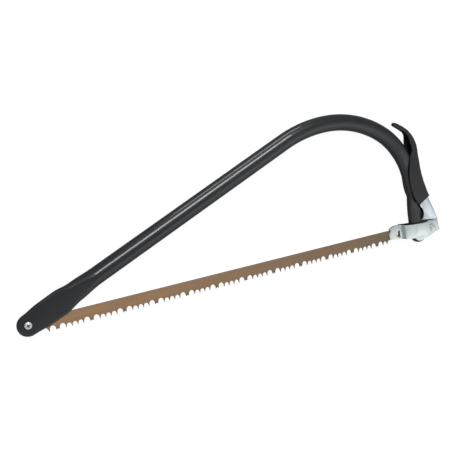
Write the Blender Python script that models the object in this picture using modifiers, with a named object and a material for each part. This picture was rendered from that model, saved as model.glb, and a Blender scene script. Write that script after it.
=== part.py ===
"""Bow saw with a pointed nose and a quick-release tension lever.

The saw lies flat: +X runs along the blade from the nose to the lever, +Y from the
blade to the bow, +Z through the thickness.  Every piece is drawn around the nose hole,
on the saw's middle plane, and the whole saw is then moved so that the middle of its
underside is the origin.
"""
import math

import bmesh
import bpy
from mathutils import Matrix, Vector

mm = 0.001

# ---- driving dimensions, millimetres -------------------------------------------------
gap = 0.3                      # between pieces that touch
tube_radius = 11.1
tube_wall = 1.4
bow_rise = 23.1                # angle of the straight run, degrees
axis_height = 0.6              # tube's centre line above the nose hole
bow_route = [                  # kind, length or radius, turn in degrees
    ("line", 393.5, 0.0),
    ("arc", 173.0, 23.1),
    ("arc", 140.0, 34.2),
    ("arc", 100.0, 42.8),
    ("line", 24.4, 0.0),
    ("arc", 60.0, 13.0),
    ("line", 55.7, 0.0),
]
nose_half_width = 13.6          # at the hole; it widens behind it
nose_hang = 1.3                 # flattened nose hangs this far below the tube's centre line
nose_half_thick = 3.2
tail_half_width = 14.0
tail_half_thick = 4.0

blade_thick = 0.9
blade_back = 4.5               # blade's back edge above the hole line
blade_height = 18.6
blade_end = 527.0
raker_first = 32.8
raker_pitch = 41.1
raker_count = 12

sheet = 1.3                    # lever's sheet steel
lever_upper_half = 7.9
lever_lower_half = tail_half_thick + gap + 1.2
grip_half = 9.6
grip_wall = 1.3

holder_sheet = 1.4
holder_front_z = blade_thick / 2 + gap
holder_main_z = lever_upper_half + gap
holder_rear_z = lever_lower_half + gap
holder_pin = (21.2, 2.7)       # holder rivet from the fulcrum

screw_radius = 2.6
fulcrum_radius = 3.0
pin_radius = 2.5


# ---- scene and collections -----------------------------------------------------------
def start_scene():
    for item in list(bpy.data.objects):
        bpy.data.objects.remove(item, do_unlink=True)
    made = []
    for label in ("bow_saw", "cutters"):
        group = bpy.data.collections.new(label)
        bpy.context.scene.collection.children.link(group)
        made.append(group)
    return made


saw_group, cutter_group = start_scene()


def make_material(name, colour, roughness, metallic):
    material = bpy.data.materials.new(name)
    material.use_nodes = True
    shader = material.node_tree.nodes["Principled BSDF"]
    shader.inputs["Base Color"].default_value = (*colour, 1.0)
    shader.inputs["Roughness"].default_value = roughness
    shader.inputs["Metallic"].default_value = metallic
    return material


paint = make_material("charcoal_paint", (0.028, 0.031, 0.036), 0.32, 0.0)
lacquer = make_material("bronze_lacquer", (0.30, 0.20, 0.125), 0.45, 0.35)
zinc = make_material("zinc_plate", (0.62, 0.66, 0.68), 0.34, 0.9)
steel = make_material("bright_steel", (0.66, 0.67, 0.69), 0.28, 1.0)
plastic = make_material("black_grip", (0.022, 0.022, 0.023), 0.5, 0.0)


# ---- helpers -------------------------------------------------------------------------
def add_object(name, mesh, group, material=None):
    item = bpy.data.objects.new(name, mesh)
    group.objects.link(item)
    if material:
        mesh.materials.append(material)
    if group is cutter_group:
        item.hide_render = True
        item.display_type = "WIRE"
    return item


def from_bmesh(name, shape, group, material=None):
    bmesh.ops.recalc_face_normals(shape, faces=shape.faces)
    mesh = bpy.data.meshes.new(name)
    shape.to_mesh(mesh)
    shape.free()
    return add_object(name, mesh, group, material)


def arc(centre, radius, start, stop, steps):
    """Points on an arc, angles in degrees, both ends included."""
    points = []
    for step in range(steps + 1):
        angle = math.radians(start + (stop - start) * step / steps)
        points.append((centre[0] + radius * math.cos(angle), centre[1] + radius * math.sin(angle)))
    return points


def prism(name, outline, low, high, group, material=None, holes=()):
    """A flat outline in XY, filled and extruded between two heights."""
    curve = bpy.data.curves.new(name, "CURVE")
    curve.dimensions = "2D"
    curve.fill_mode = "BOTH"
    curve.extrude = (high - low) / 2 * mm
    for loop in (outline, *holes):
        spline = curve.splines.new("POLY")
        spline.points.add(len(loop) - 1)
        for point, (x, y) in zip(spline.points, loop):
            point.co = (x * mm, y * mm, 0.0, 1.0)
        spline.use_cyclic_u = True
    drawn = bpy.data.objects.new(name + "_outline", curve)
    bpy.context.scene.collection.objects.link(drawn)
    bpy.context.view_layer.update()
    evaluated = drawn.evaluated_get(bpy.context.evaluated_depsgraph_get())
    mesh = bpy.data.meshes.new_from_object(evaluated)
    bpy.data.objects.remove(drawn, do_unlink=True)
    shape = bmesh.new()
    shape.from_mesh(mesh)
    bpy.data.meshes.remove(mesh)
    bmesh.ops.remove_doubles(shape, verts=shape.verts, dist=0.000002)
    bmesh.ops.translate(shape, verts=shape.verts, vec=(0.0, 0.0, (low + high) / 2 * mm))
    return from_bmesh(name, shape, group, material)


def cylinder(name, centre, radius, low, high, group, material=None, sides=40):
    shape = bmesh.new()
    bmesh.ops.create_cone(shape, cap_ends=True, segments=sides, radius1=radius * mm,
                          radius2=radius * mm, depth=(high - low) * mm)
    place = (centre[0] * mm, centre[1] * mm, (low + high) / 2 * mm)
    bmesh.ops.translate(shape, verts=shape.verts, vec=place)
    return from_bmesh(name, shape, group, material)


def turned(name, profile, centre, group, material, sides=40):
    """A profile of (radius, height) pairs, top to bottom, spun about Z."""
    shape = bmesh.new()
    corners = [shape.verts.new((radius * mm, 0.0, height * mm)) for radius, height in profile]
    for first, second in zip(corners, corners[1:]):
        shape.edges.new((first, second))
    mesh = bpy.data.meshes.new(name)
    shape.to_mesh(mesh)
    shape.free()
    item = add_object(name, mesh, group, material)
    item.location = (centre[0] * mm, centre[1] * mm, 0.0)
    spin = item.modifiers.new("turn", "SCREW")
    spin.steps = sides
    spin.render_steps = sides
    spin.use_merge_vertices = True
    spin.merge_threshold = 0.00001
    return item


def boolean(item, tool, operation="DIFFERENCE"):
    step = item.modifiers.new(tool.name, "BOOLEAN")
    step.operation = operation
    step.solver = "EXACT"
    step.object = tool
    return step


def bevel(item, width, segments, angle=40.0):
    step = item.modifiers.new("soft_edges", "BEVEL")
    step.width = width * mm
    step.segments = segments
    step.limit_method = "ANGLE"
    step.angle_limit = math.radians(angle)
    return step


def hang_on(item, centre):
    """Move the piece's origin to its joint's axis without moving the piece."""
    point = Vector((centre[0] * mm, centre[1] * mm, 0.0))
    item.data.transform(Matrix.Translation(item.location - point))
    item.location = point


def shade_round(item, angle=35.0):
    item.data.shade_smooth()
    item.data.set_sharp_from_angle(angle=math.radians(angle))


# ---- the bow's centre line -----------------------------------------------------------
def route_length():
    total = 0.0
    for kind, size, turn in bow_route:
        total += size if kind == "line" else size * math.radians(turn)
    return total


def bow_point(distance):
    """Centre line's place and heading, from the nose hole; it runs on past both ends."""
    x, y, heading = 0.0, axis_height, math.radians(bow_rise)
    left = distance
    last = len(bow_route) - 1
    for number, (kind, size, turn) in enumerate(bow_route):
        length = size if kind == "line" else size * math.radians(turn)
        travel = left if number == last else min(left, length)
        if kind == "line":
            x += travel * math.cos(heading)
            y += travel * math.sin(heading)
        else:
            swing = travel / size
            x += size * (math.sin(heading) - math.sin(heading - swing))
            y += size * (math.cos(heading - swing) - math.cos(heading))
            heading -= swing
        left -= travel
        if left <= 0.0 and number < last:
            break
    return x, y, heading


bow_length = route_length()
fulcrum = bow_point(bow_length)[:2]
pin = (fulcrum[0] + holder_pin[0], fulcrum[1] + holder_pin[1])

# half width and half thickness of the tube: from the nose, and back from the fulcrum
nose_shape = [(0.0, nose_half_width, nose_half_thick), (22.0, 15.6, nose_half_thick), (44.0, 15.9, nose_half_thick),
              (66.0, 13.0, 7.4), (96.0, tube_radius, tube_radius)]
tail_shape = [(0.0, tail_half_width, tail_half_thick), (30.0, tail_half_width, tail_half_thick),
              (67.0, 11.3, 6.2), (88.0, 11.1, 6.5), (134.0, tube_radius, tube_radius)]


def blend_shape(keys, distance):
    for (start, wide, thick), (stop, next_wide, next_thick) in zip(keys, keys[1:]):
        if distance <= stop:
            part = max(0.0, (distance - start) / (stop - start))
            ease = part * part * (3.0 - 2.0 * part)
            return wide + (next_wide - wide) * ease, thick + (next_thick - thick) * ease
    return tube_radius, tube_radius


def rounded_end(wide, thick, past):
    """Section of a flattened end, this far past the centre of its round tip."""
    flat = wide - thick
    left = math.sqrt(max(0.0, wide * wide - past * past))
    if past > flat:
        thick = math.sqrt(max(0.0, thick * thick - (past - flat) ** 2))
    return left, min(left, thick)


def tube_section(distance, inset):
    """Half width and half thickness of the tube's outer or inner skin."""
    if distance < 0.0:
        wide, thick = nose_half_width, nose_half_thick
    elif distance > bow_length:
        wide, thick = tail_half_width, tail_half_thick
    elif distance < bow_length / 2:
        wide, thick = blend_shape(nose_shape, distance)
    else:
        wide, thick = blend_shape(tail_shape, bow_length - distance)
    if inset:
        if distance < bow_length / 2:
            squeezed = min(1.0, (thick - nose_half_thick) / 3.0)
            thick = max(0.9, thick - tube_wall - 0.9 * (1.0 - squeezed))
        else:
            thick = thick - tube_wall
        wide = wide - tube_wall
    if distance < 0.0:
        return rounded_end(wide, thick, -distance)
    if distance > bow_length:
        return rounded_end(wide, thick, distance - bow_length)
    return wide, thick


def tube_stations(inset):
    """Distances along the centre line at which the skin has a ring."""
    nose_tip = nose_half_width - (tube_wall if inset else 0.0)
    tail_tip = tail_half_width - (tube_wall if inset else 0.0)
    tip_steps = 5 if inset else 9
    marks = [-nose_tip * math.cos(math.radians(90.0 * step / tip_steps)) for step in range(1, tip_steps)]
    marks += [0.0, 8.0, 15.0, 22.0, 33.0, 44.0, 52.0, 57.0, 62.0, 68.0, 74.0, 80.0, 87.0, 96.0, 245.0]
    arc_start = bow_route[0][1]
    fine = 8.0 if inset else 5.5
    count = int((bow_length - 92.0 - arc_start) / fine)
    marks += [arc_start + (bow_length - 92.0 - arc_start) * step / count for step in range(count + 1)]
    marks += [bow_length - back for back in (86.0, 80.0, 74.0, 68.0, 62.0, 56.0, 50.0, 43.0, 36.0, 30.0, 14.0)]
    marks += [bow_length]
    marks += [bow_length + tail_tip * math.sin(math.radians(90.0 * step / tip_steps))
              for step in range(1, tip_steps)]
    return marks, bow_length + tail_tip, -nose_tip


def hung_point(distance):
    """Middle of the tube's section: its centre line, or lower in the flattened nose."""
    x, y, heading = bow_point(distance)
    part = min(1.0, max(0.0, (96.0 - distance) / 52.0))
    drop = nose_hang * part * part * (3.0 - 2.0 * part)
    return x + drop * math.sin(heading), y - drop * math.cos(heading), heading


def tube_ring(distance, inset, side_steps):
    wide, thick = tube_section(distance, inset)
    x, y, heading = hung_point(distance)
    ring = []
    steepest = math.sin(math.radians(90.0 - 90.0 / side_steps))
    for side in (1.0, -1.0):
        for step in range(side_steps):
            angle = math.radians(-90.0 + 180.0 * (step + 0.5) / side_steps)
            across = side * (wide - thick + thick * math.cos(angle))
            up = side * thick * math.sin(angle) / steepest
            ring.append(((x - across * math.sin(heading)) * mm, (y + across * math.cos(heading)) * mm, up * mm))
    return ring


def tube_skin(name, inset, side_steps, group, material=None):
    """One closed skin: rings of unlike section joined end to end, with a point at each tip."""
    shape = bmesh.new()
    marks, tail_tip, nose_tip = tube_stations(inset)
    rings = [[shape.verts.new(corner) for corner in tube_ring(mark, inset, side_steps)] for mark in marks]
    for first, second in zip(rings, rings[1:]):
        for corner in range(len(first)):
            after = (corner + 1) % len(first)
            shape.faces.new((first[corner], first[after], second[after], second[corner]))
    for ring, tip in ((rings[0], nose_tip), (rings[-1], tail_tip)):
        x, y, _ = hung_point(tip)
        point = shape.verts.new((x * mm, y * mm, 0.0))
        for corner in range(len(ring)):
            shape.faces.new((ring[corner], ring[(corner + 1) % len(ring)], point))
    return from_bmesh(name, shape, group, material)


def along_nose(distance, across):
    """A point by its distance along the straight run and across it."""
    heading = math.radians(bow_rise)
    return (distance * math.cos(heading) - across * math.sin(heading),
            axis_height + distance * math.sin(heading) + across * math.cos(heading))


def frame_tube():
    """The bent tube: hollow, flattened at both ends, slotted at the nose for the blade."""
    item = tube_skin("frame_tube", False, 12, saw_group, paint)
    boolean(item, tube_skin("tube_hollow_cut", True, 7, cutter_group))
    slot = [along_nose(-22.0, -22.0), along_nose(58.0, -22.0), along_nose(58.0, 9.5), along_nose(-22.0, 9.5)]
    slot_half = blade_thick / 2 + gap
    boolean(item, prism("nose_slot_cut", slot, -slot_half, slot_half, cutter_group))
    boolean(item, cylinder("nose_hole_cut", (0.0, 0.0), screw_radius + gap, -20.0, 20.0, cutter_group))
    boolean(item, cylinder("fulcrum_hole_cut", fulcrum, fulcrum_radius + gap, -20.0, 20.0, cutter_group))
    shade_round(item, 50.0)
    return item


# ---- nose fasteners ------------------------------------------------------------------
def nose_screw():
    """Pan-head machine screw with a cross recess; the blade turns on its shank."""
    under = nose_half_thick + gap
    head = [(0.0, under + 2.7), (2.2, under + 2.6), (3.7, under + 2.1), (4.5, under + 1.1), (4.65, under),
            (screw_radius, under), (screw_radius, -10.0), (screw_radius - 0.5, -10.5), (0.0, -10.5)]
    item = turned("nose_screw", head, (0.0, 0.0), saw_group, steel, 36)
    for label, half_x, half_y in (("recess_cut_x", 2.3, 0.55), ("recess_cut_y", 0.55, 2.3)):
        bar = [(-half_x, -half_y), (half_x, -half_y), (half_x, half_y), (-half_x, half_y)]
        boolean(item, prism(label, bar, under + 1.1, under + 4.0, cutter_group))
    shade_round(item)
    return item


def ring_piece(name, centre, inner, outer, low, high, material, sides=40):
    item = cylinder(name, centre, outer, low, high, saw_group, material, sides)
    boolean(item, cylinder(name + "_bore", centre, inner, low - 1.0, high + 1.0, cutter_group))
    return item


def nose_washer():
    top = -nose_half_thick - gap
    return ring_piece("nose_washer", (0.0, 0.0), screw_radius + gap, 5.6, top - 1.0, top, steel)


def nose_nut():
    top = -nose_half_thick - 2 * gap - 1.0
    return ring_piece("nose_nut", (0.0, 0.0), screw_radius + gap, 4.62, top - 4.0, top, steel, 6)


# ---- blade ---------------------------------------------------------------------------
def gullet(left, right, depth, tip, steps):
    """Round-topped gap between two tooth tips, from left to right."""
    middle, half = (left + right) / 2, (right - left) / 2
    points = []
    for step in range(steps + 1):
        angle = math.pi * (1.0 - step / steps)
        points.append((middle + half * math.cos(angle), tip + depth * math.sin(angle)))
    return points


def tooth_edge():
    """The toothed edge from left to right: a notched raker, then four slim cutters, repeated."""
    tip = blade_back - blade_height
    cutters = (10.05, 17.05, 24.05, 31.05)
    teeth = [(raker_first - 10.05, "cutter")]
    for group in range(raker_count):
        start = raker_first + group * raker_pitch
        teeth.append((start, "raker"))
        teeth += [(start + place, "cutter") for place in cutters]
    last = raker_first + raker_count * raker_pitch
    teeth = [tooth for tooth in teeth if tooth[0] < last - 30.0]
    half_tip = {"cutter": 0.45, "raker": 1.9}
    depth = {("cutter", "cutter"): 4.8, ("cutter", "raker"): 6.2, ("raker", "cutter"): 6.2}
    points = []
    for number, (place, kind) in enumerate(teeth):
        if kind == "raker":
            points.append((place, tip + 1.5))
        if number + 1 < len(teeth):
            after, next_kind = teeth[number + 1]
            points += gullet(place + half_tip[kind], after - half_tip[next_kind], depth[kind, next_kind], tip, 9)
    first, final = teeth[0][0], teeth[-1][0]
    shoulder = tip + 5.2
    start = [(first - 6.0, shoulder), (first - 3.4, shoulder), (first - 1.2, tip + 2.0), (first - 0.45, tip)]
    stop = [(final + 0.45, tip), (final + 1.2, tip + 2.0), (final + 3.4, shoulder), (final + 6.0, shoulder)]
    return start + points + stop


def saw_blade():
    """The toothed strip, with the nose hole and the holder's catch hole."""
    back = blade_back
    low = back - blade_height + 5.2
    tail = [(blade_end - 8.0, low), (blade_end - 2.0, low + 2.5), (blade_end, 0.0), (blade_end - 2.0, back - 1.5),
            (blade_end - 4.0, back)]
    nose = [(2.0, back)] + arc((0.0, back - 7.0), 7.0, 90.0, 180.0, 6) + arc((0.0, low + 6.5), 7.0, 200.0, 262.0, 4)
    outline = tooth_edge() + tail + nose
    holes = [arc((0.0, 0.0), screw_radius + gap, 0.0, 345.0, 23), arc((519.0, -2.6), 3.4, 0.0, 345.0, 23)]
    item = prism("saw_blade", outline, -blade_thick / 2, blade_thick / 2, saw_group, lacquer, holes)
    hang_on(item, (0.0, 0.0))
    return item


# ---- tension lever -------------------------------------------------------------------
web_line = [(591.2, -10.2), (589.4, 0.6), (587.2, 9.0), (583.6, 19.9), (578.8, 32.5), (574.8, 42.0), (572.8, 47.0),
            (570.1, 56.2), (567.5, 65.4), (565.4, 75.9), (564.0, 84.8), (563.3, 94.9), (562.4, 101.0)]


def web_x(height):
    """The lever's back at this height."""
    for (low_x, low_y), (high_x, high_y) in zip(web_line, web_line[1:]):
        if height <= high_y:
            return low_x + (height - low_y) / (high_y - low_y) * (high_x - low_x)
    return web_line[-1][0]


def shifted(points, across):
    return [(x - across, y) for x, y in points]


def tension_lever():
    """Pressed channel: wide round the tube above, narrow round its flattened end below."""
    mouth = arc((551.2, 19.7), 13.3, -44.0, 47.0, 12)
    front = [(553.5, 58.0), (556.0, 66.0), (558.5, 76.0), (558.5, 93.0)]
    upper_back = [(web_x(6.6), 6.6)] + web_line[2:]
    upper = upper_back + front[::-1] + mouth[::-1]
    item = prism("tension_lever", upper, -lever_upper_half, lever_upper_half, saw_group, zinc)
    inside = shifted([(web_x(-8.0), -8.0)] + web_line[1:] + [(561.3, 106.0)], sheet * 1.05)
    inside += [(540.0, 110.0), (520.0, 110.0), (520.0, -8.0)]
    half = lever_upper_half - sheet
    boolean(item, prism("lever_upper_hollow", inside, -half, half, cutter_group))

    cheek = arc(fulcrum, 11.3, 90.0, 290.0, 20) + [web_line[0], (web_x(6.3), 6.3), (573.0, 6.3)]
    lower = prism("lever_lower_cheeks", cheek, -lever_lower_half, lever_lower_half, cutter_group)
    hollow = shifted([(web_x(-24.0), -24.0), web_line[0], (web_x(6.3), 6.3), (web_x(20.0), 20.0)], sheet * 1.05)
    hollow += [(520.0, 20.0), (520.0, -24.0)]
    half = tail_half_thick + gap
    boolean(lower, prism("lever_lower_hollow", hollow, -half, half, cutter_group))
    boolean(item, lower, "UNION")

    neck = neck_piece()
    boolean(item, neck, "UNION")
    for label, centre, radius in (("lever_fulcrum_cut", fulcrum, fulcrum_radius), ("lever_pin_cut", pin, pin_radius)):
        boolean(item, cylinder(label, centre, radius + gap, -20.0, 20.0, cutter_group))
    hang_on(item, fulcrum)
    return item


def neck_piece():
    """The strip of the lever's back that narrows from the wide channel to the narrow one."""
    top, bottom = 8.5, -3.0
    strip = [(web_x(top), top), (web_x(top) - sheet, top), (web_x(bottom) - sheet, bottom), (web_x(bottom), bottom)]
    item = prism("lever_neck", strip, -lever_upper_half, lever_upper_half, cutter_group)
    shape = bmesh.new()
    shape.from_mesh(item.data)
    for side in (1.0, -1.0):
        low = Vector((0.0, bottom * mm, side * lever_lower_half * mm))
        high = Vector((0.0, top * mm, side * (lever_upper_half + 0.4) * mm))
        run = high - low
        out = Vector((0.0, -run.z, run.y)) * side
        cut = bmesh.ops.bisect_plane(shape, geom=shape.verts[:] + shape.edges[:] + shape.faces[:],
                                     plane_co=low, plane_no=out, clear_outer=True)
        rim = [edge for edge in cut["geom_cut"] if isinstance(edge, bmesh.types.BMEdge)]
        bmesh.ops.holes_fill(shape, edges=rim, sides=0)
    bmesh.ops.recalc_face_normals(shape, faces=shape.faces)
    shape.to_mesh(item.data)
    shape.free()
    return item


def height_band(name, widths, group):
    """A ribbon across the saw whose half thickness follows (height, half) pairs."""
    ribbon = widths + [(height, -half) for height, half in widths[::-1]]
    item = prism(name, ribbon, -30.0, 30.0, group)
    turn = Matrix(((0.0, 0.0, 1.0), (1.0, 0.0, 0.0), (0.0, 1.0, 0.0))).to_4x4()
    item.data.transform(Matrix.Translation(Vector((555.0 * mm, 0.0, 0.0))) @ turn)
    return item


def lever_grip():
    """Moulded sleeve over the lever's upper half, ending in a hollow finger hook above the tube."""
    back = [(575.9, 42.8), (573.9, 47.5), (571.3, 56.2), (568.7, 65.4), (566.6, 75.9), (565.3, 84.8), (564.7, 94.9),
            (563.9, 103.6), (563.6, 112.2)]
    hook_top = [(563.3, 119.3), (561.8, 126.6), (559.6, 133.4), (555.4, 140.2), (548.6, 146.2), (541.1, 151.1)]
    hook_tip = arc((535.6, 151.2), 2.6, 60.0, 235.0, 6)
    hook_under = [(537.8, 146.6), (542.3, 143.6), (546.8, 140.3), (549.7, 138.3), (551.8, 135.6), (553.3, 132.8),
                  (553.8, 130.3), (554.1, 124.5)]
    front = [(554.6, 117.8), (555.4, 111.2), (552.2, 106.2), (550.2, 101.6), (548.1, 92.0), (546.3, 82.3),
             (545.5, 73.9), (545.9, 66.6), (546.6, 59.3), (548.1, 51.8), (550.5, 44.1), (553.9, 36.9), (558.7, 33.3)]
    item = prism("lever_grip", back + hook_top + hook_tip + hook_under + front, -grip_half, grip_half, saw_group, plastic)
    taper = [(0.0, grip_half), (111.0, grip_half), (118.0, 9.1), (125.0, 7.7), (131.0, 6.3), (136.0, 4.6), (141.0, 3.5),
             (147.0, 2.7), (156.0, 2.3)]
    boolean(item, height_band("grip_width", taper, cutter_group), "INTERSECT")
    bevel(item, 1.0, 2, 35.0)
    line = [(web_x(20.0) + 0.35, 20.0)] + [(x + 0.35, y) for x, y in web_line[5:]]
    roof = [(561.6, 104.5), (561.4, 112.2), (561.0, 119.0), (559.6, 125.9), (557.5, 132.2), (553.6, 138.4), (548.2, 143.0)]
    hollow = prism("grip_hollow", line + roof + [(543.0, 136.0), (525.0, 127.0), (525.0, 20.0)], -grip_half, grip_half,
                   cutter_group)
    inside = [(height, half - grip_wall) for height, half in taper[:-1]]
    boolean(hollow, height_band("grip_hollow_width", inside, cutter_group), "INTERSECT")
    boolean(item, hollow)
    hang_on(item, fulcrum)
    shade_round(item)
    return item


def rivet(name, centre, shank, head, height, crown):
    """Shank with a low head at each end; height is where a head's underside sits."""
    top = [(0.0, height + crown), (head * 0.6, height + crown), (head, height + crown * 0.35), (head, height)]
    profile = top + [(shank, height), (shank, -height)] + [(radius, -z) for radius, z in top[::-1]]
    item = turned(name, profile, centre, saw_group, steel, 40)
    hang_on(item, centre)
    shade_round(item)
    return item


# ---- blade holder --------------------------------------------------------------------
def holder_outline():
    rear = arc(pin, 6.6, -105.0, 150.0, 22)
    under = [(507.0, -9.2), (516.0, -10.6), (528.4, -11.4), (537.5, -13.1), (568.5, -13.1)]
    over = [(570.3, 5.4), (555.7, 6.0), (541.0, 7.0), (528.5, 8.6), (519.0, 9.6), (513.4, 8.9), (508.3, 6.3)]
    return under + rear + over + [(508.9, 2.9), (505.2, -0.6), (506.0, -4.5)]


def holder_section():
    """Side view of the sheet, near side: low at the blade, out round the lever, in at the rivet."""
    front, main, rear, thick = holder_front_z, holder_main_z, holder_rear_z, holder_sheet
    return [(500.0, front), (527.2, front), (530.2, main), (568.8, main), (570.8, rear), (595.0, rear),
            (595.0, rear + thick), (571.3, rear + thick), (569.3, main + thick), (529.2, main + thick),
            (526.2, front + thick), (500.0, front + thick)]


def holder_plate(name, side):
    """One pressed cheek of the holder; the camera-side one carries the tongue."""
    item = prism(name, holder_outline(), -12.0, 12.0, saw_group, zinc)
    section = [(x, side * z) for x, z in holder_section()]
    strip = prism(name + "_section", section, -40.0, 40.0, cutter_group)
    turn = Matrix(((1.0, 0.0, 0.0), (0.0, 0.0, -1.0), (0.0, 1.0, 0.0))).to_4x4()
    strip.data.transform(turn)
    boolean(item, strip, "INTERSECT")
    window = [(514.2, -2.6), (523.9, 2.4), (523.9, -9.2)]
    boolean(item, prism(name + "_window", window, -15.0, 15.0, cutter_group))
    if side > 0.0:
        tongue = [(512.8, -3.2), (512.8, -2.0), (520.4, 0.4), (520.4, -6.2)]
        low = holder_front_z
        boolean(item, prism("holder_tongue", tongue, low, low + 0.9, cutter_group), "UNION")
    boolean(item, cylinder(name + "_bore", pin, pin_radius + gap, -20.0, 20.0, cutter_group))
    hang_on(item, pin)
    return item


# ---- put together --------------------------------------------------------------------
def saw_bounds(pieces):
    bpy.context.view_layer.update()
    graph = bpy.context.evaluated_depsgraph_get()
    corners = []
    for piece in pieces:
        shown = piece.evaluated_get(graph)
        corners += [shown.matrix_world @ Vector(corner) for corner in shown.bound_box]
    low = Vector([min(corner[axis] for corner in corners) for axis in range(3)])
    high = Vector([max(corner[axis] for corner in corners) for axis in range(3)])
    return low, high


def main():
    pieces = [frame_tube(), nose_screw(), nose_washer(), nose_nut(), saw_blade(), tension_lever(), lever_grip()]
    pieces.append(rivet("fulcrum_rivet", fulcrum, fulcrum_radius, 5.4, lever_lower_half + gap, 0.8))
    pieces.append(rivet("holder_rivet", pin, pin_radius, 4.2, holder_rear_z + holder_sheet + gap, 0.9))
    pieces.append(holder_plate("blade_holder_near", 1.0))
    pieces.append(holder_plate("blade_holder_far", -1.0))
    low, high = saw_bounds(pieces)
    rest = Vector((-(low.x + high.x) / 2, -(low.y + high.y) / 2, -low.z))
    for item in list(saw_group.objects) + list(cutter_group.objects):
        item.location += rest


main()
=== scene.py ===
import math

import bmesh
import bpy
from mathutils import Matrix, Vector


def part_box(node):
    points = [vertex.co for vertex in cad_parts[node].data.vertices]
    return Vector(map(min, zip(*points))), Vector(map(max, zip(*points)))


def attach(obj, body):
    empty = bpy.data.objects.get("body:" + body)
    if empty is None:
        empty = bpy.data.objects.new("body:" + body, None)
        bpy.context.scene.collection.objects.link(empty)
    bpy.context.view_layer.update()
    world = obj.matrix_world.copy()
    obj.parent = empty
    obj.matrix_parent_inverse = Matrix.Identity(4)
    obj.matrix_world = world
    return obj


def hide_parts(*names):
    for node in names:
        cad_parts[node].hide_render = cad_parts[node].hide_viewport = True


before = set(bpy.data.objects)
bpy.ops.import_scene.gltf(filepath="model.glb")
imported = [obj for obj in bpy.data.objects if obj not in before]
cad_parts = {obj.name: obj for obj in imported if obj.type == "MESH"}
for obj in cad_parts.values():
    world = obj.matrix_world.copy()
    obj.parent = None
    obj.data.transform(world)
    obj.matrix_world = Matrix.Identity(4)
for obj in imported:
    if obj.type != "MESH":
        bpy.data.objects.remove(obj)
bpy.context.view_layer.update()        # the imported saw: bodies, nodes, joints and record
mm = 0.001
tipLine = -14.1          # line of the saw teeth, mm below the nose hole


def middleOf(node):
    low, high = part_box(node)
    return (low + high) / 2


# Every piece is drawn in millimetres round the nose hole, on the saw's middle plane.
home = Vector((*middleOf("nose_washer").xy, middleOf("fulcrum_rivet").z))
fulcrum = tuple(((middleOf("fulcrum_rivet") - home) / mm).xy)
holderPin = tuple(((middleOf("holder_rivet") - home) / mm).xy)


# Selecting and editing

def selectOnly(*items):
    for item in bpy.context.selected_objects:
        item.select_set(False)
    for item in items:
        item.select_set(True)
    if items:
        bpy.context.view_layer.objects.active = items[0]


def openMesh(piece):
    selectOnly(piece)
    bpy.ops.object.mode_set(mode="EDIT")
    bpy.ops.mesh.select_mode(type="VERT")


def closeMesh():
    bpy.ops.object.mode_set(mode="OBJECT")


def pick(piece, test, kind="VERT"):
    # test is given a corner's place, the two ends of an edge, or a face's middle and normal
    bpy.ops.mesh.select_mode(type=kind)
    bpy.ops.mesh.select_all(action="DESELECT")
    cage = bmesh.from_edit_mesh(piece.data)
    if kind == "VERT":
        chosen = [corner for corner in cage.verts if test(corner.co / mm)]
    elif kind == "EDGE":
        chosen = [edge for edge in cage.edges if test(edge.verts[0].co / mm, edge.verts[1].co / mm)]
    else:
        chosen = [face for face in cage.faces if test(face.calc_center_median() / mm, face.normal)]
    for part in chosen:
        part.select_set(True)
    cage.select_flush_mode()
    bmesh.update_edit_mesh(piece.data)
    return len(chosen)


def slide(x, y, z):
    bpy.ops.transform.translate(value=(x * mm, y * mm, z * mm))


def pull(x, y, z):
    bpy.ops.mesh.extrude_region_move(TRANSFORM_OT_translate={"value": (x * mm, y * mm, z * mm)})


def applyStep(piece, step):
    selectOnly(piece)
    bpy.ops.object.modifier_apply(modifier=step.name)


def cut(piece, tool, operation="DIFFERENCE"):
    step = piece.modifiers.new(tool.name, "BOOLEAN")
    step.operation = operation
    step.solver = "EXACT"
    step.object = tool
    applyStep(piece, step)
    bpy.data.objects.remove(tool, do_unlink=True)


def softenEdges(piece, width, segments=2, angle=40.0):
    step = piece.modifiers.new("softEdges", "BEVEL")
    step.width = width * mm
    step.segments = segments
    step.limit_method = "ANGLE"
    step.angle_limit = math.radians(angle)
    applyStep(piece, step)


def outward(piece):
    openMesh(piece)
    bpy.ops.mesh.select_all(action="SELECT")
    bpy.ops.mesh.remove_doubles(threshold=0.004 * mm)
    bpy.ops.mesh.normals_make_consistent(inside=False)
    closeMesh()


# Starting shapes

def arcPoints(centre, radius, start, stop, steps):
    turns = [math.radians(start + (stop - start) * step / steps) for step in range(steps + 1)]
    return [(centre[0] + radius * math.cos(turn), centre[1] + radius * math.sin(turn)) for turn in turns]


def drawChain(name, points):
    # points are (x, y, z) in millimetres: one corner is extruded from place to place
    selectOnly()
    bpy.ops.mesh.primitive_plane_add(size=mm, location=(0.0, 0.0, 0.0))
    piece = bpy.context.object
    piece.name = piece.data.name = name
    openMesh(piece)
    bpy.ops.mesh.select_all(action="SELECT")
    bpy.ops.mesh.merge(type="CENTER")
    slide(*points[0])
    for here, there in zip(points, points[1:]):
        pull(*(Vector(there) - Vector(here)))
    return piece


def fillChain(piece):
    bpy.ops.mesh.select_all(action="DESELECT")
    cage = bmesh.from_edit_mesh(piece.data)
    for corner in cage.verts:
        if len(corner.link_edges) == 1:
            corner.select_set(True)
    bmesh.update_edit_mesh(piece.data)
    bpy.ops.mesh.edge_face_add()
    bpy.ops.mesh.select_all(action="SELECT")
    bpy.ops.mesh.edge_face_add()


def slab(name, outline, low, high):
    # a flat outline, filled and pulled up between two heights
    piece = drawChain(name, [(x, y, low) for x, y in outline])
    fillChain(piece)
    bpy.ops.mesh.select_all(action="SELECT")
    pull(0.0, 0.0, high - low)
    closeMesh()
    outward(piece)
    return piece


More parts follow.
